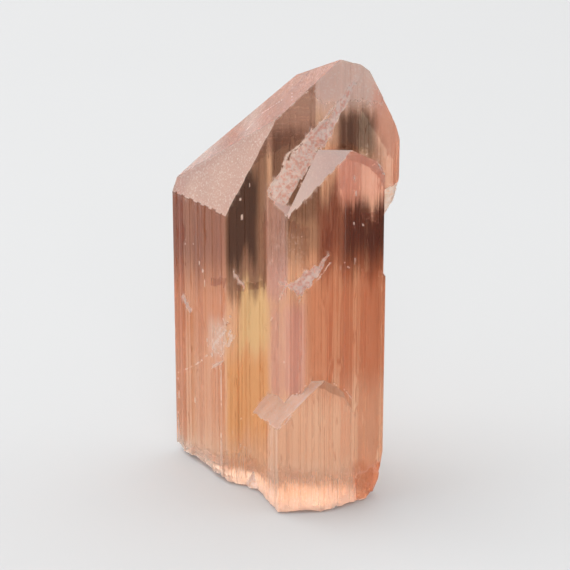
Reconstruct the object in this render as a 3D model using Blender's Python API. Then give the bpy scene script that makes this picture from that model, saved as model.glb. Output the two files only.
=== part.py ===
"""Kunzite crystal: a bladed spodumene crystal standing upright on its broken base.

The crystal grew as one piece. Upright prisms in parallel growth make it: the main
blade, a step on its front face, a front crystal with a domed tip, and two lower
front layers that end in ledges. Every prism has ribbed upright walls and an
oblique end. They are joined in one solid, broken off unevenly at the foot.

X runs to the right, Y away from the front and Z up. Sizes are in millimetres and
directions in degrees, and the finished solid is scaled to metres.
"""
import math
import random

import bmesh
import bpy
from mathutils import Vector, noise

MILLIMETRE = 0.001

# Direction of the front walls, as the angle by which they come forward to the right
FRONT_WALL = -4.0

# Plan of the main blade
LEFT_EDGE = Vector((-15.9, 11.4))
NEAR_EDGE = Vector((-8.1, -0.75))
PEAK_EDGE = Vector((9.9, -5.25))
RIGHT_EDGE = Vector((12.9, -5.04))
BACK_RIGHT = Vector((5.2, 9.4))
BACK_LEFT = Vector((-12.0, 13.6))

# Right side of the front crystal
FRONT_RIGHT = Vector((13.2, -7.02))
BESIDE_RIGHT = Vector((12.9, -3.6))

# How far the front layers stand forward of the blade's front wall at the peak
FRONT_CRYSTAL = 2.0
LOWER_LAYER = 3.4
FOOT_LAYER = 4.4

# Heights
BLOCK_TOP = 75.0
WASTE_TOP = 110.0
BLOCK_BOTTOM = -3.0
BOTTOM_STEP = 0.13
WASTE_BOTTOM = -9.0
BASE_LEVEL = 0.2
HEAD_BOTTOM = 38.5

# Oblique end faces: compass direction that each faces, slope from level, a point on it
LEFT_END = (-147.6, 70.7, (-1.1, -2.5, 54.4))
UPPER_END = (-169.2, 47.7, (7.3, -4.6, 63.0))
DOME_END = (-108.5, 70.4, (8.9, -7.3, 51.5))
SHOULDER_END = (-90.0, 15.0, (-1.0, -4.7, 43.0))
FLARE_FACES = [
    (-104.0, 66.0, (-6.3, -1.25, 3.2)),
    (-158.0, 66.0, (-3.7, -3.6, 2.6)),
]
PLATE_SLOPE = 58.0

# Crumbled end faces, each given in the same way
STEP_ENDS = [(-140.5, 63.9, (2.07, -3.29, 51.6)), (-128.6, 72.3, (7.0, -4.9, 56.5))]
LOWER_END = (-109.0, 62.3, (2.0, -7.8, 33.9))
FOOT_ENDS = [(-162.5, 59.0, (-2.34, -2.2, 14.8)), (-138.8, 52.4, (1.65, -10.25, 16.0))]

# Height of the lower layer's top at the middle of the crystal, and its rise to the right
LOWER_TOP = 32.9
LOWER_RISE = 0.75

# Crumbled surfaces: height and width of the lumps, and the cell of the surface
STEP_CRUMBLE = (1.15, 1.25, 0.42)
LOWER_CRUMBLE = (0.9, 1.0, 0.45)
FOOT_CRUMBLE = (0.25, 1.5, 0.9)
STEP_SEED = 3.0
FINE_WIDTH = 2.3
FINE_HEIGHT = 0.6

# Crest points of the blade, from its left end over the peak and down to the right
BLADE_CREST = [
    ((-15.1, 11.6, 42.1), (-11.75, 10.55, 45.5), 55.0),
    ((-11.75, 10.55, 45.5), (1.5, 4.5, 58.5), 60.0),
    ((1.5, 4.5, 58.6), (7.3, -4.5, 63.0), 35.0),
    ((7.3, -4.6, 63.0), (9.9, -5.25, 62.5), 35.0),
    ((9.9, -5.25, 62.5), (11.1, -5.2, 61.6), 40.0),
    ((11.1, -5.2, 61.6), (14.6, -4.9, 54.5), 55.0),
    ((14.6, -4.9, 54.5), (15.15, -4.9, 52.6), 55.0),
]

# Crest points of the front crystal's dome, from its left foot to its right shoulder
DOME_CREST = [
    ((0.4, -7.75, 43.0), (4.7, -5.6, 51.7), 30.0),
    ((4.7, -5.6, 51.7), (8.9, -7.3, 51.4), 40.0),
    ((8.9, -7.3, 51.45), (10.3, -7.2, 51.1), 40.0),
    ((10.3, -7.2, 51.15), (11.6, -7.1, 50.4), 45.0),
    ((11.6, -7.1, 50.45), (12.8, -7.0, 49.1), 50.0),
    ((12.8, -7.0, 49.2), (13.4, -7.0, 47.4), 55.0),
]

# Crest points of the foot layer's arch, to the right of its ledge
FOOT_CREST = [
    ((4.7, -9.95, 20.2), (6.6, -9.8, 19.4), 45.0),
    ((6.6, -9.8, 19.4), (8.1, -9.5, 18.4), 45.0),
    ((8.1, -9.5, 18.4), (9.2, -9.2, 16.3), 50.0),
]

# Breaks below the head at the right of the peak: a point and the way each one faces
HEAD_BREAKS = [
    ((14.9, -4.9, 46.1), (0.30, -0.85, -0.43)),
    ((15.15, -4.9, 46.9), (0.988, 0.0, -0.155)),
    ((14.7, -4.9, 43.8), (0.907, 0.0, -0.42)),
    ((13.5, -1.0, 41.8), (0.35, 0.45, -0.82)),
]

# Cuts at the foot: the level that it stands on and the breaks of the right corner
FOOT_BREAKS = [
    ((0.0, 0.0, BASE_LEVEL), (0.0, 0.0, -1.0)),
    ((13.3, -7.0, 6.6), (0.99, -0.06, -0.13)),
    ((12.9, -7.0, 3.8), (0.93, -0.10, -0.35)),
    ((12.1, -7.1, 1.7), (0.74, -0.20, -0.64)),
]

# Long chip across the lower right of the front: its upper edge and a point inside
CHIP_LEFT = Vector((9.4, -7.45, 5.1))
CHIP_RIGHT = Vector((13.4, -7.0, 6.7))
CHIP_INSIDE = Vector((10.9, -6.3, 0.2))

# Bruise on the near edge of the blade
BRUISE_HEIGHT = 23.0
BRUISE_RADII = (1.5, 1.1, 3.0)
BRUISE_OFFSET = (-0.3, -0.75)
BRUISE_LUMPS = 0.18
BRUISE_GRAIN = 2.1

# Thin plates grown on the walls: the wall's two corners, where the plate starts and
# ends along it, its thickness, its top height and the compass direction of its end
PLATES = [
    (LEFT_EDGE, NEAR_EDGE, 2.2, 5.0, 0.22, 24.0, -120.0),
    (LEFT_EDGE, NEAR_EDGE, 10.4, 13.7, 0.25, 17.5, -170.0),
    (NEAR_EDGE, PEAK_EDGE, 0.9, 2.8, 0.18, 31.0, -60.0),
    (BACK_RIGHT, BACK_LEFT, 2.0, 7.5, 1.5, 36.0, 60.0),
    (BACK_RIGHT, BACK_LEFT, 5.6, 11.5, 0.8, 27.0, 85.0),
    (BACK_RIGHT, BACK_LEFT, 12.6, 15.4, 1.0, 41.0, 110.0),
    (RIGHT_EDGE, BACK_RIGHT, 4.5, 8.4, 0.5, 33.0, 20.0),
    (RIGHT_EDGE, BACK_RIGHT, 10.2, 14.0, 0.4, 44.0, 50.0),
    (FRONT_RIGHT, BESIDE_RIGHT, 0.1, 3.2, 0.35, 33.5, 10.0),
]

# Grooves of the upright walls: full depth, the share of it that one has, the slant of
# its sides, and where in its strip of the wall it starts and ends
RIB_DEPTH = 0.10
RIB_SHARE = (0.4, 1.0)
RIB_SLANT = 0.8
RIB_START = (0.15, 0.40)
RIB_END = (0.55, 0.90)

# Broken foot: how wide and high the rim is chipped, and the cell of its surface
RIM_WIDTH = 4.2
RIM_HEIGHT = 1.7
RIM_CELL = 1.1
RIM_REACH = 3.0
RIM_CURVE = 1.2
RIM_MEAN = 0.75
RIM_LUMPS = (0.9, 3.1)
RIM_CHIPS = (0.5, 1.2)
BACK_SHARE = 0.8
FRONT_SHARE = 0.3
BACK_START = Vector((-9.0, 3.0))
LEVEL_MARGIN = 0.6
MARGIN_RISE = 2.5


def clear_scene():
    """Remove every object of the open file."""
    for item in list(bpy.data.objects):
        bpy.data.objects.remove(item, do_unlink=True)


def along(degrees):
    """Unit plan vector of a wall that comes forward by this angle to the right."""
    angle = math.radians(degrees)
    return Vector((math.cos(angle), -math.sin(angle)))


def forward(x, offset):
    """Plan point on a wall that stands forward of the blade's front wall."""
    run = along(FRONT_WALL)
    return Vector((x, PEAK_EDGE.y + (x - PEAK_EDGE.x) * run.y / run.x - offset))


def facing(compass, slope, point):
    """Plane through a point, as a point and a normal, from the way it faces."""
    turn = math.radians(compass)
    tilt = math.radians(slope)
    normal = Vector((math.sin(tilt) * math.cos(turn), math.sin(tilt) * math.sin(turn), math.cos(tilt)))
    return Vector(point), normal


def roof(start, end, fall):
    """Plane through a crest line that falls away to the back at an angle."""
    angle = math.radians(fall)
    back = Vector((0.0, math.cos(angle), -math.sin(angle)))
    normal = (Vector(end) - Vector(start)).cross(back).normalized()
    return Vector(start), normal


def break_plane(point, normal):
    """Plane of a break, as a point and a normal."""
    return Vector(point), Vector(normal).normalized()


def lowered(plane, depth):
    """The same plane moved into the crystal."""
    point, normal = plane
    return point - normal * depth, normal


def ribbed(start, end, ribs, seed):
    """Points from start up to end, with shallow upright grooves let into the wall."""
    dice = random.Random(seed)
    run = end - start
    inward = Vector((-run.y, run.x)).normalized()
    points = [start]
    for rib in range(ribs):
        left = (rib + dice.uniform(*RIB_START)) / ribs
        right = (rib + dice.uniform(*RIB_END)) / ribs
        depth = inward * RIB_DEPTH * dice.uniform(*RIB_SHARE)
        edge = run.normalized() * depth.length * RIB_SLANT
        points.append(start + run * left)
        points.append(start + run * left + edge + depth)
        points.append(start + run * right - edge + depth)
        points.append(start + run * right)
    return points


def outline(corners):
    """Closed plan outline from (corner, number of ribs to the next corner) pairs."""
    points = []
    for index, (corner, ribs) in enumerate(corners):
        following = corners[(index + 1) % len(corners)][0]
        points.extend(ribbed(corner, following, ribs, seed=index + 31 * ribs))
    return points


def add_object(name, mesh_data, helper=True):
    """Link a bmesh as an object, hidden from rendering where it only helps."""
    mesh = bpy.data.meshes.new(name)
    mesh_data.normal_update()
    mesh_data.to_mesh(mesh)
    mesh_data.free()
    item = bpy.data.objects.new(name, mesh)
    bpy.context.scene.collection.objects.link(item)
    if helper:
        item.hide_render = True
        item.display_type = "WIRE"
    return item


def cleave(body, plane):
    """Split off what lies outside a plane and close the cut with one flat face."""
    point, normal = plane
    parts = body.verts[:] + body.edges[:] + body.faces[:]
    cut = bmesh.ops.bisect_plane(
        body, geom=parts, dist=1e-5, plane_co=point, plane_no=normal, clear_outer=True
    )
    rim = [part for part in cut["geom_cut"] if isinstance(part, bmesh.types.BMEdge)]
    if rim:
        bmesh.ops.edgeloop_fill(body, edges=rim)
    bmesh.ops.recalc_face_normals(body, faces=body.faces)


def prism(name, corners, planes=(), bottom=None):
    """Upright prism on a ribbed plan, cleaved by oblique planes.

    Each prism reaches a little lower than the last, so that no two undersides meet.
    """
    if bottom is None:
        bottom = BLOCK_BOTTOM - BOTTOM_STEP * len(bpy.data.objects)
    body = bmesh.new()
    foot = [body.verts.new((point.x, point.y, bottom)) for point in outline(corners)]
    face = body.faces.new(foot)
    grown = bmesh.ops.extrude_face_region(body, geom=[face])
    risen = [part for part in grown["geom"] if isinstance(part, bmesh.types.BMVert)]
    bmesh.ops.translate(body, verts=risen, vec=(0.0, 0.0, BLOCK_TOP - bottom))
    bmesh.ops.recalc_face_normals(body, faces=body.faces)
    for plane in planes:
        cleave(body, plane)
    return add_object(name, body)


def slab(name, low, high, cell, height, limit=WASTE_TOP):
    """Closed block between an uneven height(x, y) surface and a level limit."""
    columns = max(2, round((high.x - low.x) / cell))
    rows = max(2, round((high.y - low.y) / cell))
    body = bmesh.new()
    grid = []
    flat = []
    for row in range(rows + 1):
        for column in range(columns + 1):
            x = low.x + (high.x - low.x) * column / columns
            y = low.y + (high.y - low.y) * row / rows
            grid.append(body.verts.new((x, y, height(x, y))))
            on_rim = row in (0, rows) or column in (0, columns)
            flat.append(body.verts.new((x, y, limit)) if on_rim else None)
    width = columns + 1
    for row in range(rows):
        for column in range(columns):
            first = row * width + column
            body.faces.new((grid[first], grid[first + 1], grid[first + width]))
            body.faces.new((grid[first + 1], grid[first + width + 1], grid[first + width]))
    ring = [column for column in range(columns)]
    ring += [row * width + columns for row in range(rows)]
    ring += [rows * width + column for column in range(columns, 0, -1)]
    ring += [row * width for row in range(rows, 0, -1)]
    for place, index in enumerate(ring):
        after = ring[(place + 1) % len(ring)]
        body.faces.new((grid[index], grid[after], flat[after], flat[index]))
    body.faces.new([flat[index] for index in ring])
    bmesh.ops.recalc_face_normals(body, faces=body.faces)
    return add_object(name, body)


def crumbled(end, lumps, seed):
    """Height function of an oblique end face with an uneven, crumbled surface."""
    point, normal = facing(*end)
    tall, wide, _ = lumps

    def height(x, y):
        level = point.z - (normal.x * (x - point.x) + normal.y * (y - point.y)) / normal.z
        place = Vector((x, y, level)) / wide + Vector((0.0, 0.0, seed))
        return level + tall * (noise.noise(place) + FINE_HEIGHT * noise.noise(place * FINE_WIDTH))

    return height


def combine(target, other, operation, solver="EXACT"):
    """Add a Boolean to a body."""
    step = target.modifiers.new(f"{operation.lower()} {other.name}", "BOOLEAN")
    step.operation = operation
    step.solver = solver
    step.object = other


def settled(item):
    """Editable copy of an object's shape, with its Booleans done."""
    bpy.context.view_layer.update()
    depsgraph = bpy.context.evaluated_depsgraph_get()
    mesh = bpy.data.meshes.new_from_object(item.evaluated_get(depsgraph))
    body = bmesh.new()
    body.from_mesh(mesh)
    bpy.data.meshes.remove(mesh)
    return body


def blade():
    """Main blade: two oblique end faces at the top left and a hidden back roof."""
    corners = [
        (LEFT_EDGE, 7),
        (NEAR_EDGE, 9),
        (PEAK_EDGE, 0),
        (RIGHT_EDGE, 5),
        (BACK_RIGHT, 11),
        (BACK_LEFT, 2),
    ]
    planes = [facing(*LEFT_END), facing(*UPPER_END)]
    planes += [roof(*crest) for crest in BLADE_CREST]
    return prism("main_blade", corners, planes)


def right_head():
    """Head at the right of the peak, broken off below where it overhangs."""
    corners = [
        (Vector((9.4, -4.4)), 0),
        (forward(10.0, 0.1), 3),
        (forward(15.15, 0.1), 1),
        (Vector((14.3, -0.6)), 1),
        (Vector((11.0, 0.2)), 0),
        (Vector((9.0, 1.0)), 0),
    ]
    planes = [lowered(roof(*crest), 0.1) for crest in BLADE_CREST[2:]]
    planes += [break_plane(*end) for end in HEAD_BREAKS]
    return prism("right_head", corners, planes, bottom=HEAD_BOTTOM)


def front_step():
    """Step on the main wall, with a crumbled oblique end that climbs to the peak."""
    corners = [
        (Vector((-2.4, -2.18)), 1),
        (Vector((-0.55, -4.72)), 3),
        (Vector((5.3, -5.57)), 0),
        (forward(10.6, -0.06), 0),
        (Vector((10.0, -1.0)), 0),
        (Vector((-1.0, -0.5)), 0),
    ]
    planes = [facing(*UPPER_END)] + [roof(*crest) for crest in BLADE_CREST[2:]]
    planes = [lowered(plane, 0.25) for plane in planes]
    low, high = [crumbled(end, STEP_CRUMBLE, seed=STEP_SEED + i) for i, end in enumerate(STEP_ENDS)]

    def height(x, y):
        return min(low(x, y), high(x, y))

    body = prism("front_step", corners, planes)
    waste = slab("step_waste", Vector((-3.6, -6.6)), Vector((11.4, 0.4)), STEP_CRUMBLE[2], height)
    combine(body, waste, "DIFFERENCE")
    return body


def front_crystal():
    """Front crystal: a frosted end face at the left and a domed crest over the front."""
    corners = [
        (Vector((-2.4, -2.18)), 3),
        (forward(0.4, FRONT_CRYSTAL), 9),
        (FRONT_RIGHT, 1),
        (BESIDE_RIGHT, 0),
        (Vector((11.0, -1.0)), 0),
        (Vector((-1.0, -0.5)), 0),
    ]
    planes = [facing(*DOME_END)] + [roof(*crest) for crest in DOME_CREST] + [chipped_corner()]
    return prism("front_crystal", corners, planes)


def shoulder():
    """Low shoulder that fills the notch at the left foot of the dome."""
    corners = [
        (Vector((-2.32, -2.3)), 2),
        (Vector((0.3, -7.5)), 0),
        (Vector((2.5, -4.5)), 0),
        (Vector((0.0, -1.5)), 0),
    ]
    return prism("shoulder", corners, [facing(*SHOULDER_END)])


def flared_foot():
    """Foot that flares out below the main wall and the left side of the foot layer."""
    corners = [
        (Vector((-8.2, -0.6)), 0),
        (Vector((-7.3, -1.8)), 0),
        (Vector((-5.2, -3.1)), 0),
        (Vector((-3.6, -5.7)), 0),
        (Vector((-1.8, -8.9)), 0),
        (Vector((0.0, -6.0)), 0),
        (Vector((-5.0, 1.0)), 0),
    ]
    return prism("flared_foot", corners, [facing(*end) for end in FLARE_FACES])


def lower_layer():
    """Layer low on the front crystal that thins out to the right, under a crumbled ledge."""
    corners = [
        (Vector((-0.9, -5.2)), 0),
        (Vector((-0.05, -7.75)), 3),
        (forward(2.3, LOWER_LAYER), 4),
        (forward(6.4, FRONT_CRYSTAL - 0.1), 0),
        (Vector((6.4, -6.0)), 0),
        (Vector((1.0, -4.0)), 0),
    ]
    ledge = crumbled(LOWER_END, LOWER_CRUMBLE, seed=5.0)

    def height(x, y):
        return min(ledge(x, y), LOWER_TOP + LOWER_RISE * x)

    body = prism("lower_layer", corners)
    waste = slab("lower_waste", Vector((-2.4, -10.6)), Vector((7.6, -3.4)), LOWER_CRUMBLE[2], height)
    combine(body, waste, "DIFFERENCE")
    return body


def foot_layer():
    """Layer at the foot of the front, with a broad ledge at the left and an arched top."""
    corners = [
        (Vector((-4.5, -1.66)), 4),
        (forward(-1.0, FOOT_LAYER), 5),
        (forward(5.0, FOOT_LAYER), 4),
        (forward(7.4, FOOT_LAYER - 0.8), 1),
        (forward(9.6, FRONT_CRYSTAL + 0.15), 0),
        (Vector((10.2, -6.0)), 0),
        (Vector((0.0, -1.0)), 0),
    ]
    left, right = [crumbled(end, FOOT_CRUMBLE, seed=17.0) for end in FOOT_ENDS]

    def height(x, y):
        return min(left(x, y), right(x, y))

    body = prism("foot_layer", corners, [roof(*crest) for crest in FOOT_CREST])
    waste = slab("foot_waste", Vector((-5.6, -12.0)), Vector((11.0, 0.0)), FOOT_CRUMBLE[2], height)
    combine(body, waste, "DIFFERENCE")
    return body


def wall_plates():
    """Thin plates in parallel growth on the upright walls, with sloping ends."""
    bodies = []
    for index, (first, last, start, end, thickness, top, compass) in enumerate(PLATES):
        run = (last - first).normalized()
        outward = Vector((run.y, -run.x))
        near = first + run * (start + thickness) + outward * thickness
        far = first + run * (end - thickness) + outward * thickness
        corners = [
            (first + run * start - outward, 0),
            (near, 2),
            (far, 0),
            (first + run * end - outward, 0),
        ]
        middle = (near + far) / 2
        end_face = facing(compass, PLATE_SLOPE, (middle.x, middle.y, top))
        bodies.append(prism(f"plate_{index + 1}", corners, [end_face]))
    return bodies


def edge_bruise():
    """Bite out of the near edge of the blade, at half height."""
    body = bmesh.new()
    bmesh.ops.create_icosphere(body, subdivisions=2, radius=1.0)
    middle = NEAR_EDGE + Vector(BRUISE_OFFSET)
    for vertex in body.verts:
        vertex.co *= 1.0 + BRUISE_LUMPS * noise.noise(vertex.co * BRUISE_GRAIN)
        vertex.co *= Vector(BRUISE_RADII)
        vertex.co += Vector((middle.x, middle.y, BRUISE_HEIGHT))
    return add_object("edge_bruise", body)


def plan_hull():
    """Plan polygon around the foot of the whole crystal."""
    return [
        LEFT_EDGE,
        NEAR_EDGE,
        Vector((-5.2, -3.1)),
        forward(-1.0, FOOT_LAYER),
        forward(7.4, FOOT_LAYER - 0.8),
        FRONT_RIGHT,
        BESIDE_RIGHT,
        BACK_RIGHT,
        BACK_LEFT,
    ]


def edge_distance(x, y):
    """Distance from a plan point to the nearest side of the foot."""
    point = Vector((x, y))
    corners = plan_hull()
    nearest = 1e9
    for index, start in enumerate(corners):
        run = corners[(index + 1) % len(corners)] - start
        share = max(0.0, min(1.0, (point - start).dot(run) / run.length_squared))
        nearest = min(nearest, (point - start - run * share).length)
    return nearest


def broken_foot():
    """Waste under the foot: level in the middle, chipped upwards around the rim."""
    low = Vector((LEFT_EDGE.x - RIM_REACH, forward(-1.0, FOOT_LAYER).y - RIM_REACH))
    high = Vector((RIGHT_EDGE.x + RIM_REACH, BACK_LEFT.y + RIM_REACH))

    def height(x, y):
        closeness = max(0.0, 1.0 - edge_distance(x, y) / RIM_WIDTH)
        lumps = RIM_MEAN
        for seed, (tall, wide) in enumerate((RIM_LUMPS, RIM_CHIPS)):
            lumps += tall * noise.noise(Vector((x / wide, y / wide, 2.0 + 7.0 * seed)))
        side = BACK_SHARE if x < BACK_START.x or y > BACK_START.y else FRONT_SHARE
        chip = RIM_HEIGHT * side * max(0.0, lumps) * closeness ** RIM_CURVE
        return BASE_LEVEL - LEVEL_MARGIN + chip + LEVEL_MARGIN * min(1.0, closeness * MARGIN_RISE)

    return slab("foot_waste_rim", low, high, RIM_CELL, height, WASTE_BOTTOM)


def chipped_corner():
    """Plane of the long chip across the lower right of the front."""
    return CHIP_LEFT, (CHIP_INSIDE - CHIP_LEFT).cross(CHIP_RIGHT - CHIP_LEFT).normalized()


def kunzite_material():
    """Clear salmon pink crystal."""
    material = bpy.data.materials.new("kunzite")
    material.use_nodes = True
    shader = material.node_tree.nodes["Principled BSDF"]
    shader.inputs["Base Color"].default_value = (0.78, 0.42, 0.30, 1.0)
    shader.inputs["Roughness"].default_value = 0.12
    shader.inputs["Metallic"].default_value = 0.0
    shader.inputs["IOR"].default_value = 1.66
    shader.inputs["Transmission Weight"].default_value = 0.9
    return material


def build_crystal():
    """Join the growth in one solid, then break its foot and bruise its near edge."""
    grown = blade()
    parts = [right_head(), front_step(), front_crystal(), shoulder()]
    parts += [lower_layer(), foot_layer(), flared_foot()]
    for part in parts + wall_plates():
        combine(grown, part, "UNION")
    body = settled(grown)
    for end in FOOT_BREAKS:
        cleave(body, break_plane(*end))
    broken = add_object("broken_crystal", body)
    combine(broken, broken_foot(), "DIFFERENCE", solver="MANIFOLD")
    combine(broken, edge_bruise(), "DIFFERENCE", solver="MANIFOLD")
    return settled(broken)


def centre_on_ground(body):
    """Move the solid so that the middle of its box's underside is the origin."""
    low = Vector([min(vertex.co[axis] for vertex in body.verts) for axis in range(3)])
    high = Vector([max(vertex.co[axis] for vertex in body.verts) for axis in range(3)])
    middle = Vector(((low.x + high.x) / 2, (low.y + high.y) / 2, low.z))
    for vertex in body.verts:
        vertex.co = (vertex.co - middle) * MILLIMETRE


def main():
    clear_scene()
    body = build_crystal()
    centre_on_ground(body)
    for item in list(bpy.data.objects):
        bpy.data.objects.remove(item, do_unlink=True)
    crystal = add_object("kunzite_crystal", body, helper=False)
    crystal.data.materials.append(kunzite_material())


main()
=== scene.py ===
"""Kunzite crystal, dressed: striated walls, etched ends, sparkling ledges, a crumbled foot.

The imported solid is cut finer, relief is raised on it, and colour, frosting and bright
lines are set as values on the mesh for one clear material. Design sizes are in
millimetres, with X to the right, Y away from the front and Z up. Patches and lines
of the front are placed on a front drawing, which has PIXELS_PER_MM units to the
millimetre and its origin at the upper left.
"""

import math
import random

import bmesh
import bpy
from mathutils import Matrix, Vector, noise
from mathutils.bvhtree import BVHTree


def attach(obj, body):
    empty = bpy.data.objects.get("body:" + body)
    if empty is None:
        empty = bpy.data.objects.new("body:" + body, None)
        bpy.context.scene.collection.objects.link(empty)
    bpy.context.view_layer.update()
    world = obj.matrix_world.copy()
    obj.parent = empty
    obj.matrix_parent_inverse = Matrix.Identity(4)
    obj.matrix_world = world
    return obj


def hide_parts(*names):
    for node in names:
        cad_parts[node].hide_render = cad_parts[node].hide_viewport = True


MILLIMETRE = 0.001
MIDDLE = Vector((-0.375, 1.6876, 0.2))

# Millimetres between cuts in each direction, on the ends and near the bright lines, and
# how far from a bright line is near
STEP_X = 0.195
STEP_Y = 0.30
STEP_Z = 0.8
STEP_END = 0.4
STEP_MARK = 0.18
MARK_REACH = 0.5

# Metres within which points are joined and cuts are one, and degrees that count as flat
JOIN_LIMIT = 1e-6
CUT_LIMIT = 1e-7
FLAT_ANGLE = 0.6

# Metres: just below the crystal, and half the floor's side
FLOOR_LEVEL = -0.00005
FLOOR_REACH = 3.0

# The camera that took the photo, in millimetres, and its picture as the front drawing
CAMERA_TARGET = Vector((0.0, 0.0, 30.0))
CAMERA_DISTANCE = 296.0
CAMERA_ELEVATION = math.radians(20.0)
TOWARDS_CAMERA = Vector((0.0, -math.cos(CAMERA_ELEVATION), math.sin(CAMERA_ELEVATION)))
DRAWING_RIGHT = Vector((1.0, 0.0, 0.0))
DRAWING_UP = Vector((0.0, math.sin(CAMERA_ELEVATION), math.cos(CAMERA_ELEVATION)))
SENSOR_WIDTH = 36.0
PIXELS_PER_MM = 7.26
DRAWING = 570.0

# Surfaces of the crystal
(WALL, LEFT_END, UPPER_END, DOME, LEDGE, FOOT_END,
 FOOT, BREAK, UNDERSIDE, BACK_END, BACK_WALL) = range(11)

# How a face's normal and middle tell which surface it is
DOWNWARD = -0.95
LEVEL_TOP = 1.0
LEANING = 0.05
BACKWARD = 0.15
FOOT_TOP = 7.0
HEAD_LEFT = 11.5
HEAD_HEIGHTS = (38.0, 50.0)
FOOT_END_TOP = 24.0
LEDGE_TOP = 40.0
ANGLE_WEIGHT = 0.04
END_LIMIT = 1.6

# The broken corner at the lower right of the front
CORNER = Vector((9.0, -4.0))
CORNER_FROST = 0.25


def design(point):
    """A point of the frame in the design's millimetres."""
    return point / MILLIMETRE + MIDDLE


def frame_point(point):
    """A point in the design's millimetres in the frame's metres."""
    return (point - MIDDLE) * MILLIMETRE


def facing(compass, slope):
    """Unit normal of a surface that slopes by an angle and faces a compass direction."""
    a, t = math.radians(compass), math.radians(slope)
    return Vector((math.cos(a) * math.sin(t), math.sin(a) * math.sin(t), math.cos(t)))


def smooth(low, high, value):
    """0 below low, 1 above high, and an even curve between them."""
    t = min(max((value - low) / (high - low), 0.0), 1.0)
    return t * t * (3.0 - 2.0 * t)


# Oblique surfaces of the solid: kind, compass direction, slope and a point on each
KNOWN_ENDS = [
    (kind, facing(compass, slope), Vector(point))
    for kind, compass, slope, point in (
        (LEFT_END, -147.6, 70.7, (-1.1, -2.5, 54.4)),
        (UPPER_END, -169.2, 47.7, (7.3, -4.6, 63.0)),
        (DOME, -108.5, 70.4, (8.9, -7.3, 51.5)),
        (LEDGE, -140.5, 63.9, (2.07, -3.29, 51.6)),
        (LEDGE, -128.6, 72.3, (7.0, -4.9, 56.5)),
        (LEDGE, -109.0, 62.3, (2.0, -7.8, 33.9)),
        (FOOT_END, -162.5, 59.0, (-2.34, -2.2, 14.8)),
        (FOOT_END, -138.8, 52.4, (1.65, -10.25, 16.0)),
    )
]


def face_kind(face):
    """Which surface of the crystal a flat face belongs to."""
    normal = face.normal
    middle = design(face.calc_center_median())
    leans = abs(normal.z) > LEANING
    if normal.z < DOWNWARD and middle.z < LEVEL_TOP:
        return UNDERSIDE
    if middle.z < FOOT_TOP and leans:
        return FOOT
    if middle.x > HEAD_LEFT and HEAD_HEIGHTS[0] < middle.z < HEAD_HEIGHTS[1] and leans:
        return BREAK
    if normal.z > LEANING and normal.y < BACKWARD:
        return end_kind(normal, middle)
    if normal.z > LEANING:
        return BACK_END
    return BACK_WALL if normal.y > BACKWARD else WALL


def end_kind(normal, middle):
    """Which of the oblique front surfaces a face lies on or nearest to."""
    nearest = END_LIMIT
    found = None
    for kind, way, place in KNOWN_ENDS:
        away = abs((middle - place).dot(way)) + math.degrees(normal.angle(way)) * ANGLE_WEIGHT
        if away < nearest:
            nearest = away
            found = kind
    if found is not None:
        return found
    if middle.z < FOOT_END_TOP:
        return FOOT_END
    return LEDGE if middle.z < LEDGE_TOP else DOME


def sliced(mesh, axis, step, faces=None):
    """Cuts faces by planes a step apart, so that relief can be raised on them."""
    low = min(v.co[axis] for v in mesh.verts)
    high = max(v.co[axis] for v in mesh.verts)
    count = int((high - low) / (step * MILLIMETRE))
    pitch = (high - low) / count
    first = low + 0.5 * pitch
    normal = Vector((0.0, 0.0, 0.0))
    normal[axis] = 1.0
    waiting = [[] for _ in range(count + 1)]

    def line_up(faces, earliest):
        for face in faces:
            places = [v.co[axis] for v in face.verts]
            k = max(math.floor((min(places) - first) / pitch) + 1, earliest)
            if k < count and max(places) > first + k * pitch + CUT_LIMIT:
                waiting[k].append(face)

    line_up(faces or mesh.faces, 0)
    for k in range(count):
        faces = waiting[k]
        if not faces:
            continue
        edges = {e for face in faces for e in face.edges}
        verts = {v for face in faces for v in face.verts}
        cut = bmesh.ops.bisect_plane(mesh, geom=list(verts) + list(edges) + faces,
                                     dist=CUT_LIMIT, plane_co=normal * (first + k * pitch),
                                     plane_no=normal)
        line_up([g for g in cut["geom"] if isinstance(g, bmesh.types.BMFace)], k + 1)


# Noise that runs up the walls: waves per millimetre across and up, shift in X and Y
BROAD_BANDS = (0.9, 0.012, 0.0, 0.0)
GROWTH_LINES = (2.6, 0.03, 9.0, 0.0)
FINE_LINES = (5.5, 0.07, 0.0, 4.0)
WALL_PITS = (2.2, 0.45, 0.0, 7.0)
LINED_ZONES = (0.35, 0.05, 0.0, 0.0)

# The same for the ends, the ledges and the foot
END_HILLS = (0.8, 0.8, 0.0, 0.0)
END_GRAIN = (4.2, 4.2, 0.0, 0.0)
LEDGE_LUMPS = (0.8, 0.8, 0.0, 0.0)
LEDGE_CHIPS = (2.3, 2.3, 0.0, 3.0)
FOOT_LUMPS = (0.55, 0.55, 0.0, 0.0)
FOOT_CHIPS = (1.7, 1.7, 0.0, 3.0)

# Depths in millimetres
SKIN = 0.03
BROAD_DEPTH = 0.04
GROWTH_DEPTH = 0.03
FINE_DEPTH = 0.015
PIT_DEPTH = 0.25
PIT_LEVEL = 0.42
HILL_DEPTH = 0.03
GRAIN_DEPTH = 0.02
BROKEN_SKIN = 0.04
LEDGE_DEPTHS = (0.14, 0.24)
FOOT_DEPTHS = (0.20, 0.20)

# Where the walls are lined: least share, noise levels, share low down, heights
LINED_LEAST = 0.2
LINED_LEVELS = (-0.1, 0.35)
LINED_LOW = 0.15
LINED_HEIGHTS = (20.0, 34.0)

# Relief on points that several surfaces share, and the height below which there is none
SHARED_RELIEF = 0.3
BARE_BELOW = 0.25


def waves(p, across, upward, shift_x=0.0, shift_y=0.0):
    """Noise at a point with its own scale across and up."""
    return noise.noise((p.x * across + shift_x, p.y * across + shift_y, p.z * upward))


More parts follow.
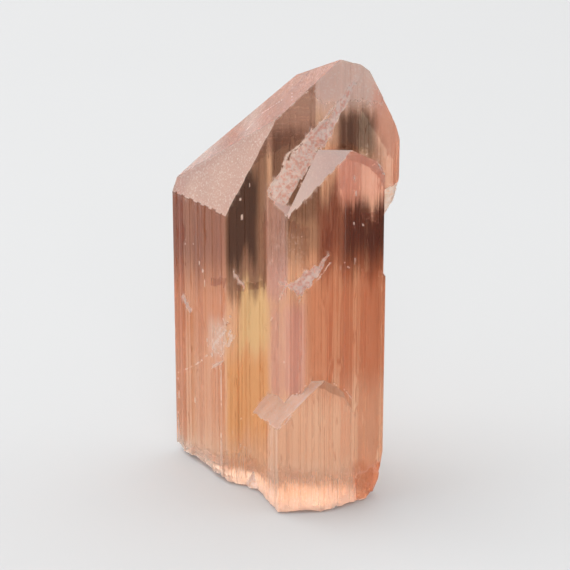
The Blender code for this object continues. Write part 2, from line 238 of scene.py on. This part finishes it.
def wall_relief(p):
    """Depth of the growth lines that run up the walls."""
    pit = max(0.0, waves(p, *WALL_PITS) - PIT_LEVEL)
    lined = LINED_LEAST + (1.0 - LINED_LEAST) * smooth(*LINED_LEVELS, waves(p, *LINED_ZONES))
    lined *= LINED_LOW + (1.0 - LINED_LOW) * smooth(*LINED_HEIGHTS, p.z)
    lines = GROWTH_DEPTH * waves(p, *GROWTH_LINES) + FINE_DEPTH * waves(p, *FINE_LINES)
    return SKIN + BROAD_DEPTH * waves(p, *BROAD_BANDS) + lined * lines + PIT_DEPTH * pit


def end_relief(p):
    """Depth of the etching on the oblique ends."""
    return SKIN + HILL_DEPTH * waves(p, *END_HILLS) + GRAIN_DEPTH * waves(p, *END_GRAIN)


def broken_relief(p, lumps, chips, depths):
    """Depth of the crumbs and chips on a broken surface."""
    return BROKEN_SKIN + depths[0] * abs(waves(p, *lumps)) + depths[1] * abs(waves(p, *chips))


def ledge_relief(p):
    """Depth of the crumbs on the broken ledges."""
    return broken_relief(p, LEDGE_LUMPS, LEDGE_CHIPS, LEDGE_DEPTHS)


def foot_relief(p):
    """Depth of the chips around the foot."""
    return broken_relief(p, FOOT_LUMPS, FOOT_CHIPS, FOOT_DEPTHS)


RELIEF = {
    WALL: wall_relief,
    LEFT_END: end_relief,
    UPPER_END: end_relief,
    DOME: end_relief,
    LEDGE: ledge_relief,
    FOOT_END: end_relief,
    FOOT: foot_relief,
    BREAK: foot_relief,
    BACK_END: end_relief,
    BACK_WALL: wall_relief,
}

# How rough and milky each surface is
FROST = {
    WALL: 0.0,
    LEFT_END: 0.95,
    UPPER_END: 0.15,
    DOME: 0.95,
    LEDGE: 0.8,
    FOOT_END: 0.55,
    FOOT: 0.9,
    BREAK: 0.85,
    UNDERSIDE: 0.0,
    BACK_END: 0.9,
    BACK_WALL: 0.35,
}

# How pale each surface is worn along its edges
WEAR = {
    WALL: 0.0,
    LEFT_END: 0.3,
    UPPER_END: 0.3,
    DOME: 0.9,
    LEDGE: 1.0,
    FOOT_END: 0.6,
    FOOT: 0.5,
    BREAK: 0.5,
    UNDERSIDE: 0.0,
    BACK_END: 0.2,
    BACK_WALL: 0.0,
}

# Colours of the crystal, seen through it or on its frosted surfaces; the darkest also paint dark
# reflections
WHITE = (1.0, 1.0, 1.0)
CREAM = (1.0, 0.92, 0.82)
PEACH = (1.0, 0.72, 0.50)
APRICOT = (0.98, 0.62, 0.38)
SALMON = (0.80, 0.38, 0.21)
TERRACOTTA = (0.66, 0.24, 0.11)
RUSSET = (0.20, 0.055, 0.028)
# Painted dark reflection of the surroundings, nearly black
DARK_REFLECTION = (0.010, 0.003, 0.002)
EMBER = (0.040, 0.006, 0.002)
OLIVE = (0.15, 0.085, 0.05)
GOLD = (1.0, 0.80, 0.36)
AMBER = (0.92, 0.48, 0.16)
MAUVE = (0.84, 0.52, 0.46)
ROSE = (1.0, 0.50, 0.38)
PINK_GREY = (1.0, 0.86, 0.80)
BROWN = (0.12, 0.055, 0.034)
UMBER = (0.42, 0.25, 0.19)
FROST_ROSE = (0.80, 0.62, 0.57)
FROST_PINK = (1.0, 0.92, 0.88)


def blend(a, b, t):
    """Colour between two colours."""
    return tuple(u + (v - u) * t for u, v in zip(a, b))


def window(low, high, soft, value):
    """1 between low and high, falling to 0 over a soft margin on each side."""
    return smooth(low - soft, low + soft, value) * (1.0 - smooth(high - soft, high + soft, value))


def drawn(p):
    """Where a point lies on the front drawing."""
    back = math.cos(CAMERA_ELEVATION)
    above = math.sin(CAMERA_ELEVATION)
    height = p.z - CAMERA_TARGET.z
    scale = PIXELS_PER_MM * CAMERA_DISTANCE / (CAMERA_DISTANCE + p.y * back - height * above)
    up = height * back + p.y * above
    return DRAWING / 2 + scale * p.x, DRAWING / 2 - scale * up


# Soft patches on the front walls, on the drawing: colour, left and right end and
# softness, upper and lower end and softness, strength, how far streaks fray the ends
# The russet, brown, umber, olive, ember and dark reflection patches paint dark reflections of the
# surroundings; the mauve ones paint a sheen
PATCHES = [
    (SALMON, (150, 226, 3), (180, 440, 40), 0.9, 10),
    (TERRACOTTA, (150, 226, 4), (180, 345, 35), 0.8, 10),
    (RUSSET, (150, 226, 6), (170, 275, 26), 0.92, 12),
    (CREAM, (210, 229, 4), (320, 354, 8), 0.45, 6),
    (APRICOT, (226, 268, 2), (285, 500, 10), 1.0, 8),
    (AMBER, (226, 268, 3), (345, 440, 25), 0.85, 10),
    (GOLD, (238, 268, 6), (282, 350, 12), 0.9, 10),
    (UMBER, (228, 334, 5), (60, 150, 10), 0.85, 14),
    # Painted dark reflections in the upper middle of the front
    (BROWN, (226, 268, 3), (135, 290, 12), 0.85, 18),
    (DARK_REFLECTION, (226, 258, 4), (165, 262, 14), 0.95, 16),
    (PINK_GREY, (326, 366, 14), (46, 102, 16), 0.9, 10),
    (BROWN, (272, 322, 3), (128, 222, 10), 0.95, 8),
    # A painted sheen in mauve on the narrow strip, darker in its upper part
    (MAUVE, (267, 286, 2), (190, 300, 6), 1.0, 6),
    (UMBER, (266, 287, 4), (186, 262, 18), 0.7, 8),
    (MAUVE, (270, 306, 3), (305, 396, 8), 0.8, 8),
    # Painted dark reflections on the right of the front
    (OLIVE, (286, 340, 5), (190, 262, 16), 0.75, 14),
    (RUSSET, (318, 392, 5), (196, 282, 16), 0.95, 16),
    (EMBER, (344, 392, 8), (204, 278, 12), 0.95, 20),
    (ROSE, (338, 392, 4), (146, 200, 12), 1.0, 8),
    (TERRACOTTA, (306, 392, 6), (270, 390, 30), 0.85, 8),
    (SALMON, (356, 392, 3), (395, 520, 20), 0.4, 6),
    (TERRACOTTA, (353, 386, 2), (464, 505, 3), 0.7, 2),
]

# The head behind the front crystal, above the arch; its dark reflection and olive patches are
# painted dark reflections
HEAD_PATCHES = [
    (PINK_GREY, (310, 410, 10), (40, 108, 12), 1.0, 6),
    (ROSE, (372, 410, 6), (80, 200, 14), 0.7, 6),
    (DARK_REFLECTION, (338, 376, 6), (112, 158, 10), 0.9, 8),
    (OLIVE, (366, 384, 5), (138, 200, 10), 0.5, 6),
]

# Milky patches on the front walls, given in the same way without a colour
HAZE_PATCHES = [
    ((310, 385, 10), (50, 106, 14), 0.7, 6),
    ((340, 392, 4), (148, 186, 10), 0.3, 6),
    ((268, 286, 2), (226, 300, 10), 0.4, 10),
    ((282, 304, 4), (235, 270, 10), 0.4, 12),
    ((226, 252, 8), (440, 500, 12), 0.5, 8),
    ((255, 360, 6), (470, 520, 14), 0.5, 8),
    ((210, 229, 4), (320, 354, 8), 0.5, 6),
]

# Bright cracks and scratches, and highlights along edges painted as pale lines: half width in
# millimetres and points on the drawing
MARKS = [
    (0.17, [(345, 97), (330, 111), (315, 131), (300, 145), (288, 154), (283, 165)]),
    (0.15, [(345, 107), (330, 123), (315, 149), (300, 171), (288, 183), (277, 194)]),
    (0.10, [(275, 186), (283, 169), (295, 174)]),
    (0.09, [(288, 218), (300, 186), (315, 157), (322, 145)]),
    (0.08, [(353, 151), (366, 154), (379, 165), (384, 176)]),
    (0.07, [(180, 177), (277, 119), (294, 103), (322, 78), (340, 62)]),
    (0.05, [(292, 82), (292, 102)]),
    (0.06, [(246, 130), (262, 113), (283, 99)]),
    (0.13, [(320, 383), (297, 406), (286, 423), (279, 429), (272, 426)]),
    (0.07, [(253, 415), (268, 397), (297, 394), (305, 386), (320, 379)]),
    (0.08, [(334, 384), (345, 390), (351, 398)]),
    (0.09, [(178, 373), (186, 369), (200, 362), (207, 355)]),
    (0.06, [(343, 260), (348, 267), (355, 272)]),
    (0.06, [(266, 361), (275, 366), (284, 362)]),
    (0.06, [(266, 327), (272, 318), (276, 315)]),
    (0.08, [(221, 370), (221, 467)]),
    (0.16, [(211, 357), (214, 344), (222, 334), (230, 316)]),
    (0.13, [(217, 355), (224, 345), (231, 330)]),
    (0.12, [(279, 300), (285, 287), (297, 281), (312, 270), (325, 260)]),
    (0.10, [(299, 302), (304, 292), (312, 285), (320, 277), (330, 263)]),
    (0.05, [(355, 176), (355, 180)]),
    (0.04, [(356, 191), (356, 196)]),
    (0.05, [(355, 207), (355, 210)]),
    (0.04, [(354, 222), (355, 229)]),
    (0.05, [(356, 243), (356, 246)]),
    (0.04, [(355, 258), (355, 264)]),
    (0.03, [(363, 196), (363, 203)]),
    (0.03, [(364, 218), (363, 226)]),
    (0.05, [(273, 228), (272, 262)]),
    (0.09, [(214, 352), (218, 341), (226, 330)]),
    (0.08, [(212, 342), (219, 330), (228, 322)]),
    (0.07, [(220, 357), (228, 347), (233, 338)]),
    (0.10, [(222, 316), (226, 326), (224, 336)]),
    (0.12, [(178, 378), (179, 398)]),
    (0.12, [(178, 412), (179, 440)]),
]

# Zones of scattered short bright lines, painted highlights on the growth lines: how many, left
# and right, upper and lower end
SCATTERS = [
    (26, (179, 223), (225, 345)),
    (16, (229, 262), (165, 290)),
    (8, (288, 350), (185, 285)),
    (10, (230, 262), (360, 465)),
    (8, (180, 222), (350, 450)),
]


SCATTER_SEED = 7
SCATTER_WIDTH = (0.02, 0.05)
SCATTER_LENGTH = (1.0, 7.0)

# Streaks that fray a patch, broad and fine, and the slow sway of its sides
BROAD_FRAY = (1.1, 5.0, 0.3)
FINE_FRAY = (4.0, 0.0, 0.9)
FINE_FRAY_SHARE = 0.8
SWAY = 2.0
SWAY_RATES = (0.12, 0.2)
SWAY_SHIFT = 0.5

# Heights over which the wall's ground colour and its pale foot fade
GROUND_RISE = (16.0, 40.0)
GROUND_FALL = (48.0, 54.0)
PALE_HEIGHTS = (0.8, 4.0)
PALE_SHARE = 0.8
MILKY_HEIGHTS = (0.5, 3.5)
MILKY_SHARE = 0.6
FOOT_SWAY = 1.2

# The head: above and behind these, right of and above these on the drawing
HEAD_BOTTOM = 40.0
HEAD_FRONT = -6.0
HEAD_SIDE = 315.0
HEAD_LOWEST = 205.0

# Waves per millimetre of the specks and crumbs of colour
SPECKS = (3.1, 3.1)
CRUMBS = (1.7, 1.7)

# Share of a surface's second colour, and what the specks add to it
END_SPECKS = (0.08, 0.12)
UPPER_SPECKS = (0.05, 0.5)
FOOT_END_SPECKS = (0.5, 0.5)
CORNER_SPECKS = (0.5, 0.5)
BACK_SPECKS = (0.3, 0.4)

# The upper end's painted highlight, a cream patch, and its pink left side, across the drawing
UPPER_HIGHLIGHT = (242.0, 260.0, 8.0)
UPPER_HIGHLIGHT_SHARE = 0.5
UPPER_PINK = (205.0, 235.0)
UPPER_PINK_SHARE = 0.7

# Pale crumbs of the ledges and peach ones of the foot: noise levels and shares
LEDGE_LEVELS = (-0.35, 0.3)
LEDGE_CRUMBS = 0.7
LEDGE_SPECKS = 0.8
FOOT_LEVELS = (-0.2, 0.5)
FOOT_SPECKS = 0.8


def scattered_highlights():
    """Short upright bright lines strewn over the walls: painted highlights on the growth lines.
    """
    dice = random.Random(SCATTER_SEED)
    marks = []
    for count, (left, right), (upper, lower) in SCATTERS:
        for _ in range(count):
            u = dice.uniform(left, right)
            v = dice.uniform(upper, lower)
            width = dice.uniform(*SCATTER_WIDTH)
            marks.append((width, [(u, v), (u, v + dice.uniform(*SCATTER_LENGTH))]))
    return marks


def fray_noise(p, rate, shift, level):
    """Noise that is the same all the way up."""
    return noise.noise((p.x * rate + shift, p.y * rate, level))


def patch_share(p, sides, ends, strength, frayed):
    """How much of a patch shows at a point."""
    u, v = drawn(p)
    fray = fray_noise(p, *BROAD_FRAY) + FINE_FRAY_SHARE * fray_noise(p, *FINE_FRAY)
    sway = SWAY * noise.noise((p.z * SWAY_RATES[0], SWAY_SHIFT, p.x * SWAY_RATES[1]))
    return window(*sides, u + sway) * window(*ends, v + frayed * fray) * strength


def patched(colour, patches, p):
    """A colour with soft frayed patches laid over it."""
    for shade, *place in patches:
        colour = blend(colour, shade, patch_share(p, *place))
    return colour


def in_corner(p, kind):
    """Whether a point is on the broken corner at the lower right of the front."""
    return kind == FOOT and p.x > CORNER.x and p.y < CORNER.y


def low_share(p, heights):
    """1 at the foot of a wall, fading to 0 over two heights."""
    return 1.0 - smooth(*heights, p.z + FOOT_SWAY * noise.noise(p))


def frost(p, kind):
    """How rough and milky a surface is at a point."""
    if in_corner(p, kind):
        return CORNER_FROST
    if kind == WALL:
        hazy = max(patch_share(p, *patch) for patch in HAZE_PATCHES)
        return max(hazy, MILKY_SHARE * low_share(p, MILKY_HEIGHTS))
    return FROST[kind]


def wall_tint(p, kind):
    """Colour of the crystal behind a wall: pale peach low, with painted dark reflections in the
    upper middle.
    """
    u, v = drawn(p)
    high = smooth(*GROUND_RISE, p.z) * (1.0 - smooth(*GROUND_FALL, p.z))
    colour = blend(PEACH, APRICOT, high)
    if kind == WALL:
        behind = p.z > HEAD_BOTTOM and p.y > HEAD_FRONT
        head = behind and u > HEAD_SIDE and v < HEAD_LOWEST
        colour = patched(colour, HEAD_PATCHES if head else PATCHES, p)
    return blend(colour, CREAM, PALE_SHARE * low_share(p, PALE_HEIGHTS))


def specked(first, second, shares, speck):
    """Colour between two that varies with the specks."""
    return blend(first, second, shares[0] + shares[1] * speck)


def tint(p, kind):
    """Colour of one surface at a point."""
    speck = waves(p, *SPECKS)
    if kind in (WALL, BACK_WALL):
        return wall_tint(p, kind)
    if kind in (LEFT_END, DOME):
        return specked(FROST_ROSE if kind == LEFT_END else WHITE, MAUVE, END_SPECKS, speck)
    if kind == UPPER_END:
        u, _ = drawn(p)
        colour = specked(TERRACOTTA, MAUVE, UPPER_SPECKS, speck)
        # A painted highlight in cream across the middle of the upper end
        colour = blend(colour, CREAM, UPPER_HIGHLIGHT_SHARE * window(*UPPER_HIGHLIGHT, u))
        return blend(colour, FROST_PINK, UPPER_PINK_SHARE * (1.0 - smooth(*UPPER_PINK, u)))
    if kind == LEDGE:
        crumb = LEDGE_CRUMBS * waves(p, *CRUMBS) + LEDGE_SPECKS * speck
        return blend(MAUVE, WHITE, smooth(*LEDGE_LEVELS, crumb))
    if kind == FOOT_END:
        return specked(PEACH, CREAM, FOOT_END_SPECKS, speck)
    if kind == UNDERSIDE:
        return WHITE
    if in_corner(p, kind):
        return specked(TERRACOTTA, SALMON, CORNER_SPECKS, speck)
    if kind in (FOOT, BREAK):
        return blend(WHITE, PEACH, smooth(*FOOT_LEVELS, speck) * FOOT_SPECKS)
    return specked(PEACH, CREAM, BACK_SPECKS, speck)


# How the bright lines swell and thin: waves per metre, mean, swing and least width
MARK_WAVES = 1700.0
MARK_MEAN = 0.95
MARK_SWING = 0.9
MARK_LEAST = 0.4
MARK_FULLNESS = 1.7
SLIVER = Vector((0.0, 0.0, 0.00001))


def surface_point(tree, u, v):
    """Point of the crystal's front at a place on the drawing, in the frame."""
    eye = frame_point(CAMERA_TARGET) + TOWARDS_CAMERA * CAMERA_DISTANCE * MILLIMETRE
    aside = DRAWING_RIGHT * (u - DRAWING / 2) + DRAWING_UP * (DRAWING / 2 - v)
    aim = aside - TOWARDS_CAMERA * PIXELS_PER_MM * CAMERA_DISTANCE
    return tree.ray_cast(eye, aim.normalized())[0]


def marks_near(surface):
    """The bright lines as a tree of slivers, and the half width of each."""
    corners = []
    slivers = []
    widths = []
    for width, points in MARKS + scattered_highlights():
        hits = [surface_point(surface, u, v) for u, v in points]
        hits = [hit for hit in hits if hit is not None]
        for start, end in zip(hits, hits[1:]):
            slivers.append((len(corners), len(corners) + 1, len(corners) + 2))
            corners += [start, end, end + SLIVER]
            widths.append(width * MILLIMETRE)
    return BVHTree.FromPolygons(corners, slivers), widths


def mark_share(co, marks):
    """1 on a bright line, 0 beside it."""
    tree, widths = marks
    _, _, index, distance = tree.find_nearest(co, MARK_REACH * MILLIMETRE)
    if index is None:
        return 0.0
    swell = max(MARK_MEAN + MARK_SWING * noise.noise(co * MARK_WAVES), MARK_LEAST)
    return min(1.0, max(0.0, MARK_FULLNESS * (1.0 - distance / (widths[index] * swell))))


def near_mark(face, marks):
    """Whether a face is within reach of a bright line."""
    found = marks[0].find_nearest(face.calc_center_median(), MARK_REACH * MILLIMETRE)
    return found[0] is not None


def cut_finely(mesh, marks):
    """Note which surface each face belongs to, and cut the mesh fine enough for relief."""
    bmesh.ops.remove_doubles(mesh, verts=mesh.verts, dist=JOIN_LIMIT)
    bmesh.ops.dissolve_limit(mesh, angle_limit=math.radians(FLAT_ANGLE),
                             verts=mesh.verts, edges=mesh.edges)
    kinds = mesh.faces.layers.int.new("kind")
    for face in mesh.faces:
        face[kinds] = face_kind(face)
    sliced(mesh, 2, STEP_Z)
    ends = [face for face in mesh.faces if face[kinds] not in (WALL, BACK_WALL)]
    sliced(mesh, 2, STEP_END, ends)
    sliced(mesh, 1, STEP_Y)
    sliced(mesh, 0, STEP_X)
    sliced(mesh, 2, STEP_MARK, [face for face in mesh.faces if near_mark(face, marks)])
    bmesh.ops.triangulate(mesh, faces=mesh.faces)
    mesh.normal_update()


def relief_move(vert, around):
    """How far the relief moves a point that touches these surfaces."""
    p = design(vert.co)
    depths = [RELIEF[kind](p) for kind in sorted(around) if kind in RELIEF]
    if p.z <= BARE_BELOW or not depths:
        return Vector()
    share = SHARED_RELIEF if len(around) > 1 else 1.0
    return vert.normal * (-sum(depths) / len(depths) * MILLIMETRE * share)


def dress_points(mesh, kinds, marks):
    """Write wear and bright lines on the points, and return the relief's moves."""
    worn = mesh.verts.layers.float.new("worn")
    mark = mesh.verts.layers.float.new("mark")
    moves = []
    for vert in mesh.verts:
        around = {face[kinds] for face in vert.link_faces}
        vert[mark] = mark_share(vert.co, marks)
        if len(around) > 1:
            vert[worn] = max(WEAR[kind] for kind in around)
        moves.append(relief_move(vert, around))
    return moves


def dress_corners(mesh, kinds):
    """Write frosting and colour on the corners of the faces."""
    frosts = mesh.loops.layers.float.new("frost")
    tints = mesh.loops.layers.float_color.new("tint")
    known = {}
    mesh.verts.index_update()
    for face in mesh.faces:
        kind = face[kinds]
        for loop in face.loops:
            key = (loop.vert.index, kind)
            if key not in known:
                p = design(loop.vert.co)
                known[key] = (frost(p, kind), (*tint(p, kind), 1.0))
            loop[frosts], loop[tints] = known[key]


def crystal_mesh(node, marks):
    """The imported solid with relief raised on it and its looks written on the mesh."""
    mesh = bmesh.new()
    mesh.from_mesh(node.data)
    cut_finely(mesh, marks)
    kinds = mesh.faces.layers.int["kind"]
    moves = dress_points(mesh, kinds, marks)
    dress_corners(mesh, kinds)
    for vert, move in zip(mesh.verts, moves):
        vert.co += move
    result = bpy.data.meshes.new("kunzite")
    mesh.to_mesh(result)
    mesh.free()
    return result


class Nodes:
    """Short hand for building a node tree."""

    def __init__(self, tree):
        self.tree = tree

    def add(self, kind, **values):
        """A new node with some of its settings."""
        node = self.tree.nodes.new(kind)
        for name, value in values.items():
            setattr(node, name, value)
        return node

    def feed(self, socket, value):
        """Link another node's output to a socket, or set the socket to a value."""
        if isinstance(value, bpy.types.NodeSocket):
            self.tree.links.new(value, socket)
        else:
            socket.default_value = value

    def value(self, name):
        """A value written on the mesh."""
        return self.add("ShaderNodeAttribute", attribute_name=name).outputs["Fac"]

    def math(self, operation, *values):
        """Two values joined by an operation."""
        node = self.add("ShaderNodeMath", operation=operation)
        for socket, value in zip(node.inputs, values):
            self.feed(socket, value)
        return node.outputs[0]

    def mix(self, factor, a, b):
        """Colour between two colours."""
        node = self.add("ShaderNodeMix", data_type="RGBA")
        self.feed(node.inputs["Factor"], factor)
        self.feed(node.inputs[6], a)
        self.feed(node.inputs[7], b)
        return node.outputs[2]

    def noise(self, vector, scale, detail, roughness):
        """Noise from 0 to 1."""
        node = self.add("ShaderNodeTexNoise")
        self.feed(node.inputs["Vector"], vector)
        self.feed(node.inputs["Scale"], scale)
        self.feed(node.inputs["Detail"], detail)
        self.feed(node.inputs["Roughness"], roughness)
        return node.outputs["Fac"]

    def parts(self, vector):
        """The three parts of a vector."""
        node = self.add("ShaderNodeSeparateXYZ")
        self.feed(node.inputs[0], vector)
        return node.outputs

    def scaled(self, vector, scale):
        """A vector with each part multiplied by its own scale."""
        node = self.add("ShaderNodeVectorMath", operation="MULTIPLY")
        self.feed(node.inputs[0], vector)
        node.inputs[1].default_value = scale
        return node.outputs[0]

    def tinted(self, colour, factor):
        """A colour made darker or lighter by a factor."""
        node = self.add("ShaderNodeVectorMath", operation="SCALE")
        self.feed(node.inputs[0], colour)
        self.feed(node.inputs["Scale"], factor)
        return node.outputs[0]

    def ramp(self, value, low, high, out_low=0.0, out_high=1.0):
        """One output below low, another above high, and an even curve between them."""
        node = self.add("ShaderNodeMapRange", interpolation_type="SMOOTHSTEP")
        self.feed(node.inputs["Value"], value)
        self.feed(node.inputs["From Min"], low)
        self.feed(node.inputs["From Max"], high)
        self.feed(node.inputs["To Min"], out_low)
        self.feed(node.inputs["To Max"], out_high)
        return node.outputs["Result"]


def new_material(name):
    """An empty material and its nodes."""
    material = bpy.data.materials.new(name)
    material.use_nodes = True
    tree = material.node_tree
    tree.nodes.clear()
    return material, Nodes(tree)


# The crystal's noise: how places are stretched, then its scale, detail and roughness
ALONG_LINES = (1000.0, 1000.0, 12.0)
ALONG_ZONES = (1000.0, 1000.0, 120.0)
ALL_WAYS = (1000.0, 1000.0, 1000.0)
STREAKS = (1.6, 4.0, 0.6)
FINE_STREAKS = (9.0, 3.0, 0.6)
GRAIN = (3.6, 2.0, 0.7)
LINED_NOISE = (0.35, 1.0, 0.5)

# Ramps: where each begins and ends, and its outputs there if they aren't 0 and 1
LINED_RAMP = (0.45, 0.70)
UPPER_RAMP = (0.022, 0.038, 0.10, 1.0)
RIGHT_RAMP = (-0.0085, -0.0070, 0.35, 1.0)
PLAIN_STREAKS = (0.30, 0.70, 0.965, 1.02)
STRONG_STREAKS = (0.30, 0.70, 0.55, 1.2)
STRONG_FINE = (0.30, 0.70, 0.70, 1.15)
GLINT_RAMP = (0.52, 0.66)
MATT_RAMP = (0.0, 1.0, 0.04, 0.50)
MATT_STREAKS = (0.4, 0.8, 0.0, 0.10)
LINE_BUMPS = (0.0, 0.5, 1.0, 0.0)
GRAIN_BUMPS = (0.0, 0.9, 0.1, 1.2)

FROST_DEPTH = 0.88
GLINT_WHITE = (1.0, 0.97, 0.95, 1.0)
WORN_SHARE = 0.6
BRIGHT = (1.0, 0.95, 0.92, 1.0)


def kunzite_material():
    """Clear crystal that absorbs light, frosted, coloured and lined by the mesh's values, with
    painted glints and highlights.
    """
    material, n = new_material("kunzite_glass")
    place = n.add("ShaderNodeTexCoord").outputs["Object"]
    frosted = n.value("frost")
    worn = n.value("worn")
    mark = n.value("mark")
    tint_colour = n.add("ShaderNodeAttribute", attribute_name="tint").outputs["Color"]

    lines = n.scaled(place, ALONG_LINES)
    streak = n.noise(lines, *STREAKS)
    fine = n.noise(lines, *FINE_STREAKS)
    grain = n.noise(n.scaled(place, ALL_WAYS), *GRAIN)
    lined = n.ramp(n.noise(n.scaled(place, ALONG_ZONES), *LINED_NOISE), *LINED_RAMP)
    parts = n.parts(place)
    upper = n.math("MULTIPLY", n.ramp(parts["Z"], *UPPER_RAMP), n.ramp(parts["X"], *RIGHT_RAMP))

    strong = n.math("MULTIPLY", n.ramp(streak, *STRONG_STREAKS), n.ramp(fine, *STRONG_FINE))
    shade = n.mix(n.math("MULTIPLY", lined, upper), n.ramp(streak, *PLAIN_STREAKS), strong)
    # Painted glints: white specks on the frosted colour where the grain is high
    frost_with_glints = n.mix(n.ramp(grain, *GLINT_RAMP), n.tinted(tint_colour, FROST_DEPTH), GLINT_WHITE)
    colour = n.mix(frosted, n.tinted(tint_colour, shade), frost_with_glints)
    # Pale worn edges, and the bright lines with their painted highlights, laid over the colour
    bright = n.math("MAXIMUM", n.math("MULTIPLY", worn, WORN_SHARE), mark)
    colour = n.mix(bright, colour, BRIGHT)
    matt = n.ramp(n.math("MAXIMUM", frosted, bright), *MATT_RAMP)
    roughness = n.math("ADD", matt, n.ramp(fine, *MATT_STREAKS))

    line_bumps = n.math("MULTIPLY", n.math("MULTIPLY", fine, upper), n.ramp(frosted, *LINE_BUMPS))
    grain_bumps = n.math("MULTIPLY", grain, n.ramp(frosted, *GRAIN_BUMPS))
    bump = n.add("ShaderNodeBump")
    n.feed(bump.inputs["Height"], n.math("ADD", line_bumps, grain_bumps))
    bump.inputs["Strength"].default_value = 0.22
    bump.inputs["Distance"].default_value = 0.00006

    shader = n.add("ShaderNodeBsdfPrincipled")
    n.feed(shader.inputs["Base Color"], colour)
    n.feed(shader.inputs["Roughness"], roughness)
    n.feed(shader.inputs["Normal"], bump.outputs["Normal"])
    shader.inputs["IOR"].default_value = 1.66
    shader.inputs["Transmission Weight"].default_value = 0.74
    shader.inputs["Specular Tint"].default_value = (0.5, 0.38, 0.32, 1.0)
    absorb = n.add("ShaderNodeVolumeAbsorption")
    absorb.inputs["Color"].default_value = (0.88, 0.36, 0.08, 1.0)
    absorb.inputs["Density"].default_value = 36.0
    out = n.add("ShaderNodeOutputMaterial")
    n.feed(out.inputs["Surface"], shader.outputs[0])
    n.feed(out.inputs["Volume"], absorb.outputs[0])
    return material


FLOOR_NOISE = (9.0, 3.0, 0.5)
FLOOR_GREYS = ((0.505, 0.51, 0.515, 1.0), (0.52, 0.525, 0.53, 1.0))


def floor_material():
    """Matt pale grey."""
    material, n = new_material("pale_floor")
    place = n.add("ShaderNodeTexCoord").outputs["Object"]
    shader = n.add("ShaderNodeBsdfPrincipled")
    n.feed(shader.inputs["Base Color"], n.mix(n.noise(place, *FLOOR_NOISE), *FLOOR_GREYS))
    shader.inputs["Roughness"].default_value = 0.9
    shader.inputs["Specular IOR Level"].default_value = 0.1
    out = n.add("ShaderNodeOutputMaterial")
    n.feed(out.inputs["Surface"], shader.outputs[0])
    return material


def add_floor():
    """The studio's floor, just below the crystal."""
    mesh = bpy.data.meshes.new("studio_floor")
    sides = ((-1, -1), (1, -1), (1, 1), (-1, 1))
    corners = [(x * FLOOR_REACH, y * FLOOR_REACH, FLOOR_LEVEL) for x, y in sides]
    mesh.from_pydata(corners, [], [(0, 1, 2, 3)])
    floor = bpy.data.objects.new("studio_floor", mesh)
    bpy.context.scene.collection.objects.link(floor)
    mesh.materials.append(floor_material())


# Light from around the crystal, and where each part of it begins and ends
OVERHEAD = (0.85, 0.85, 0.85, 1.0)
BEHIND = (2.6, 2.6, 2.6, 1.0)
IN_FRONT = (1.15, 1.12, 1.10, 1.0)
LOW_DOWN = (0.95, 0.94, 0.93, 1.0)
OVERHEAD_RAMP = (0.45, 0.75)
BEHIND_RAMP = (-0.9, 0.2)
LOW_RAMP = (0.12, 0.26)


def add_world():
    """Light from all around: brightest from behind, softer overhead and low down."""
    world = bpy.data.worlds.new("studio")
    world.use_nodes = True
    world.node_tree.nodes.clear()
    n = Nodes(world.node_tree)
    direction = n.parts(n.add("ShaderNodeTexCoord").outputs["Generated"])
    around = n.mix(n.ramp(direction["Y"], *BEHIND_RAMP), IN_FRONT, BEHIND)
    around = n.mix(n.ramp(direction["Z"], *LOW_RAMP), LOW_DOWN, around)
    background = n.add("ShaderNodeBackground")
    n.feed(background.inputs["Color"],
           n.mix(n.ramp(direction["Z"], *OVERHEAD_RAMP), around, OVERHEAD))
    background.inputs["Strength"].default_value = 1.0
    out = n.add("ShaderNodeOutputWorld")
    n.feed(out.inputs["Surface"], background.outputs[0])
    bpy.context.scene.world = world


def add_area(name, place, target, size, power):
    """A round lamp that shines at a target."""
    light = bpy.data.lights.new(name, "AREA")
    light.shape = "DISK"
    light.size = size
    light.energy = power
    lamp = bpy.data.objects.new(name, light)
    lamp.location = place
    lamp.rotation_euler = (Vector(target) - Vector(place)).to_track_quat("-Z", "Y").to_euler()
    bpy.context.scene.collection.objects.link(lamp)


def add_camera():
    """The camera that sees the crystal as the front drawing shows it."""
    data = bpy.data.cameras.new("camera")
    data.sensor_fit = "HORIZONTAL"
    data.sensor_width = SENSOR_WIDTH
    data.lens = SENSOR_WIDTH * PIXELS_PER_MM * CAMERA_DISTANCE / DRAWING
    data.clip_start = 0.01
    data.clip_end = 20.0
    camera = bpy.data.objects.new("camera", data)
    away = TOWARDS_CAMERA * (CAMERA_DISTANCE * MILLIMETRE)
    camera.location = frame_point(CAMERA_TARGET) + away
    camera.rotation_euler = (-TOWARDS_CAMERA).to_track_quat("-Z", "Y").to_euler()
    bpy.context.scene.collection.objects.link(camera)
    bpy.context.scene.camera = camera


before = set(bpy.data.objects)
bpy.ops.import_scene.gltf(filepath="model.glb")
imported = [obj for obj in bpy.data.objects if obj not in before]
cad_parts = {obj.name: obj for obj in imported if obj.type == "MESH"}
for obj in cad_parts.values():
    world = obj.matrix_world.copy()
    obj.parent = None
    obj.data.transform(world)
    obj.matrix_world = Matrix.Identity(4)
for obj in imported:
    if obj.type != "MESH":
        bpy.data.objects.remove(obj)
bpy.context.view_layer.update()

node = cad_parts["kunzite_crystal"]
surface = BVHTree.FromPolygons([vert.co for vert in node.data.vertices],
                               [face.vertices for face in node.data.polygons])
crystal = bpy.data.objects.new("kunzite_body", crystal_mesh(node, marks_near(surface)))
bpy.context.scene.collection.objects.link(crystal)
crystal.data.materials.append(kunzite_material())
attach(crystal, "root")
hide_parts("kunzite_crystal")

add_floor()
add_world()
add_area("key_light", (-0.5, 0.1, 0.9), (0.0, 0.0, 0.03), size=0.9, power=4.0)
add_area("fill_light", (0.06, -0.85, 0.42), (0.0, 0.0, 0.03), size=0.5, power=1.6)
add_camera()

scene = bpy.context.scene
scene.view_settings.view_transform = "Standard"
scene.cycles.max_bounces = 24
scene.cycles.transmission_bounces = 24
